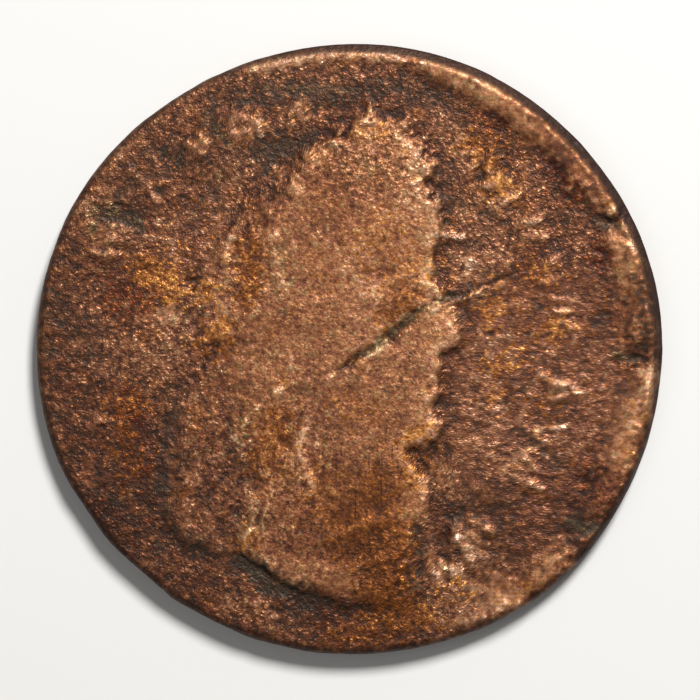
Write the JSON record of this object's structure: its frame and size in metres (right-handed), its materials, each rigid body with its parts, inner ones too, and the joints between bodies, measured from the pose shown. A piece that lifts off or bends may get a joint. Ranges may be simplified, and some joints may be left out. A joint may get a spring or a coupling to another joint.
{
  "type": "worn copper liard coin",
  "caption": "Thin worn copper coin, struck off centre, with a crowned bust in low relief, worn legend strokes, a raised rim on its right and a gouge across the bust.",
  "frame": {"origin": "under the middle of the coin's outline, on the surface that it lies on", "axes": "+Z out of the obverse, +X to the right of the bust and +Y towards the crown"},
  "size_m": [0.0232, 0.0228, 0.0013],
  "materials": {
    "patinated_copper": "old copper worn satin on the high relief, with a matt granular brown patina in the fields"
  },
  "bodies": {
    "root": {"coin": "patinated_copper"}
  },
  "joints": []
}
